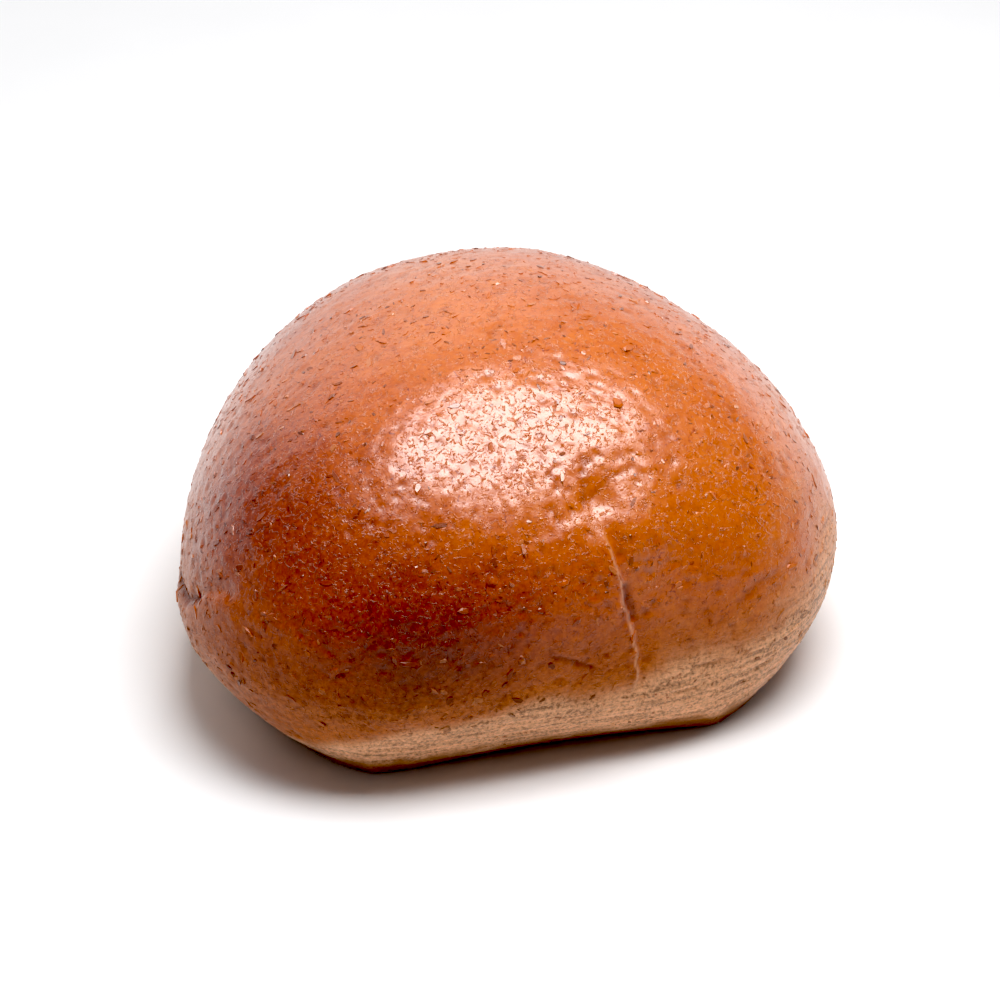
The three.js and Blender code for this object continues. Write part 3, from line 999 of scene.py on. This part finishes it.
def bran_mesh(form, crust, settings):
    """Every flake, the solid's large ones first, as one mesh that takes the crust's browning."""
    chance = np.random.default_rng(BRAN_SEED)
    flakes = solid_flakes()
    seats = np.concatenate([solid_flake_corners(form, crust, flakes),
                            fine_flake_corners(crust, chance, settings.count)])
    places = read_numbers(crust.vertices, "co", 3)[seats]
    outwards = read_numbers(crust.vertices, "normal", 3)[seats]
    size = np.exp(chance.normal(0, FLAKE_SPREAD, settings.count))
    length = np.concatenate([flakes[:, 2], settings.length * size])
    slimness = chance.uniform(*FLAKE_SLIMNESS, settings.count)
    width = np.concatenate([flakes[:, 3], length[SOLID_FLAKES:] * slimness])
    thick = np.clip(length * FLAKE_THICKNESS, *FLAKE_THICKNESS_LIMITS)
    turn = np.concatenate([flakes[:, 4], chance.uniform(0, math.pi, settings.count)])
    tilt = chance.normal(0, FLAKE_TILT, (len(places), 2))
    axes = flake_axes(outwards, turn, tilt)
    sizes = np.stack([length, width, thick], axis=1)
    kinds = [flake_template(chance) for _ in range(FLAKE_KINDS)]
    kind_of = chance.integers(0, FLAKE_KINDS, len(places))
    corners, triangles, owner = joined_flakes(kinds, kind_of, places, axes, sizes)
    corners[:, 2] = np.maximum(corners[:, 2], 0)
    mesh = bpy.data.meshes.new("bran_flakes")
    mesh.from_pydata(corners.tolist(), [], triangles.tolist())
    tone = chance.beta(*TONE_SPREAD, len(places))
    store_share(mesh, "tone", tone[owner])
    for name in ("bake", "glaze", "coat", "dry", "rim"):
        share = read_numbers(crust.attributes[name].data, "value", 1)
        store_share(mesh, name, share[seats][owner])
    mesh.update()
    return mesh


def show(mesh, name, material):
    """Puts a mesh in the scene as one piece of the roll."""
    piece = bpy.data.objects.new(name, mesh)
    mesh.materials.append(material)
    bpy.context.scene.collection.objects.link(piece)
    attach(piece, "root")
    return piece


# Studio

def look_from(place, target):
    return (Vector(target) - Vector(place)).to_track_quat("-Z", "Y").to_matrix().to_4x4()


def add_panel_light(name, place, target, size, power):
    """A soft rectangular light that faces a point."""
    data = bpy.data.lights.new(name, "AREA")
    data.shape = "RECTANGLE"
    data.size, data.size_y = size
    data.energy = power
    light = bpy.data.objects.new(name, data)
    light.matrix_world = Matrix.Translation(place) @ look_from(place, target)
    bpy.context.scene.collection.objects.link(light)


def add_floor(colour):
    sheet = bmesh.new()
    bmesh.ops.create_grid(sheet, x_segments=8, y_segments=8, size=FLOOR_HALF_SIDE)
    mesh = bpy.data.meshes.new("floor")
    sheet.to_mesh(mesh)
    sheet.free()
    floor = bpy.data.objects.new("floor", mesh)
    mesh.materials.append(floor_material(colour))
    bpy.context.scene.collection.objects.link(floor)


def add_world(brightness):
    world = bpy.data.worlds.new("studio")
    world.use_nodes = True
    background = world.node_tree.nodes["Background"]
    background.inputs["Color"].default_value = (1, 1, 1, 1)
    background.inputs["Strength"].default_value = brightness
    bpy.context.scene.world = world


def add_camera(form):
    """The photograph's camera, moved sideways so that the roll sits where it does there."""
    elevation = math.radians(VIEW_ELEVATION)
    back = Vector((0, -math.cos(elevation), math.sin(elevation)))
    up = Vector((0, math.sin(elevation), math.cos(elevation)))
    right = Vector((1, 0, 0))
    half = PICTURE_SIDE / 2
    aside = right * (half - VIEW_MIDDLE[0]) - up * (half - VIEW_MIDDLE[1])
    target = Vector((0, 0, VIEW_TARGET_HEIGHT)) - Vector(form.middle) + aside / VIEW_SCALE
    place = target + back * VIEW_DISTANCE
    data = bpy.data.cameras.new("camera")
    data.sensor_width = SENSOR_WIDTH
    data.lens = SENSOR_WIDTH * VIEW_DISTANCE * VIEW_SCALE / PICTURE_SIDE
    camera = bpy.data.objects.new("camera", data)
    camera.matrix_world = Matrix.Translation(place) @ look_from(place, target)
    bpy.context.scene.collection.objects.link(camera)
    bpy.context.scene.camera = camera


# Operators and panel

class ROLL_OT_crust(bpy.types.Operator):
    """Make the roll's crust"""
    bl_idname = "roll.crust"
    bl_label = "Crust"

    def execute(self, context):
        settings = context.scene.roll_crust
        mesh = crust_mesh(roll_form(), settings.cuts)
        crust = show(mesh, "roll_crust", crust_material(settings))
        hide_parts("roll")
        return {"FINISHED"}


class ROLL_OT_bran(bpy.types.Operator):
    """Scatter the bran flakes over the crust"""
    bl_idname = "roll.bran"
    bl_label = "Bran flakes"

    def execute(self, context):
        settings = context.scene.roll_bran
        mesh = bran_mesh(roll_form(), bpy.data.objects["roll_crust"].data, settings)
        bran = show(mesh, "bran_flakes", bran_material(context.scene.roll_crust, settings))
        return {"FINISHED"}


class ROLL_OT_studio(bpy.types.Operator):
    """Set up the floor, the lights and the camera"""
    bl_idname = "roll.studio"
    bl_label = "Studio"

    def execute(self, context):
        settings = context.scene.roll_studio
        add_floor(settings.floor)
        add_world(settings.surround)
        for name, place, target, size, power in LIGHTS:
            add_panel_light(name, place, target, size, getattr(settings, power))
        add_camera(roll_form())
        view = context.scene.view_settings
        view.view_transform = "Standard"
        view.use_curve_mapping = True
        view.curve_mapping.black_level = (settings.black_level,) * 3
        view.curve_mapping.update()
        return {"FINISHED"}


class VIEW3D_PT_bread_roll(bpy.types.Panel):
    bl_label = "Bread roll"
    bl_space_type = "VIEW_3D"
    bl_region_type = "UI"
    bl_category = "Bread roll"

    def draw(self, context):
        for operator, settings in ((ROLL_OT_crust, context.scene.roll_crust),
                                   (ROLL_OT_bran, context.scene.roll_bran),
                                   (ROLL_OT_studio, context.scene.roll_studio)):
            box = self.layout.box()
            box.operator(operator.bl_idname)
            for name in settings.__annotations__:
                box.prop(settings, name)


CLASSES = (CrustSettings, BranSettings, StudioSettings, ROLL_OT_crust, ROLL_OT_bran,
           ROLL_OT_studio, VIEW3D_PT_bread_roll)


def register():
    for each in CLASSES:
        bpy.utils.register_class(each)
    bpy.types.Scene.roll_crust = bpy.props.PointerProperty(type=CrustSettings)
    bpy.types.Scene.roll_bran = bpy.props.PointerProperty(type=BranSettings)
    bpy.types.Scene.roll_studio = bpy.props.PointerProperty(type=StudioSettings)


def unregister():
    del bpy.types.Scene.roll_studio
    del bpy.types.Scene.roll_bran
    del bpy.types.Scene.roll_crust
    for each in reversed(CLASSES):
        bpy.utils.unregister_class(each)


def main():
    register()
    bpy.ops.roll.crust()
    bpy.ops.roll.bran()
    bpy.ops.roll.studio()


if __name__ == "__main__":
    main()
